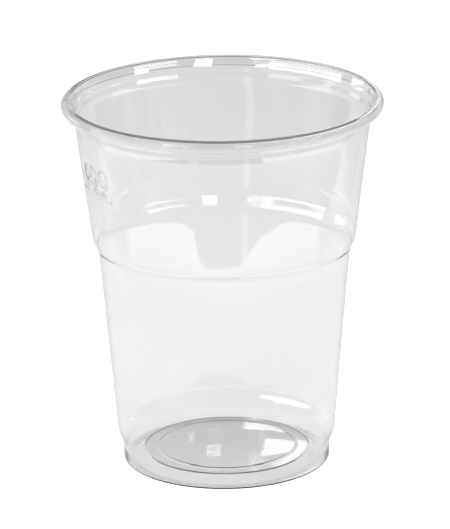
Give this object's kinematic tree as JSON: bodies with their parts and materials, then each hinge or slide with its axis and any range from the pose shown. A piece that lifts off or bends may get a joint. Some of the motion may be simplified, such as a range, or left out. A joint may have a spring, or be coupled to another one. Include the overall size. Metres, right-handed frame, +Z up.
{
  "type": "clear disposable drinking cup",
  "caption": "Tapered clear plastic cup with a rolled rim, a lid neck, a stacking shoulder, a stepped heel and a raised base panel.",
  "frame": {"origin": "centre of the ring that the cup stands on, on the table", "axes": "+Z up along the cup's axis, out of the mouth"},
  "size_m": [0.095, 0.095, 0.1116],
  "materials": {
    "clear_plastic": "clear glossy formed sheet"
  },
  "bodies": {
    "root": {"cup": "clear_plastic"}
  },
  "joints": []
}
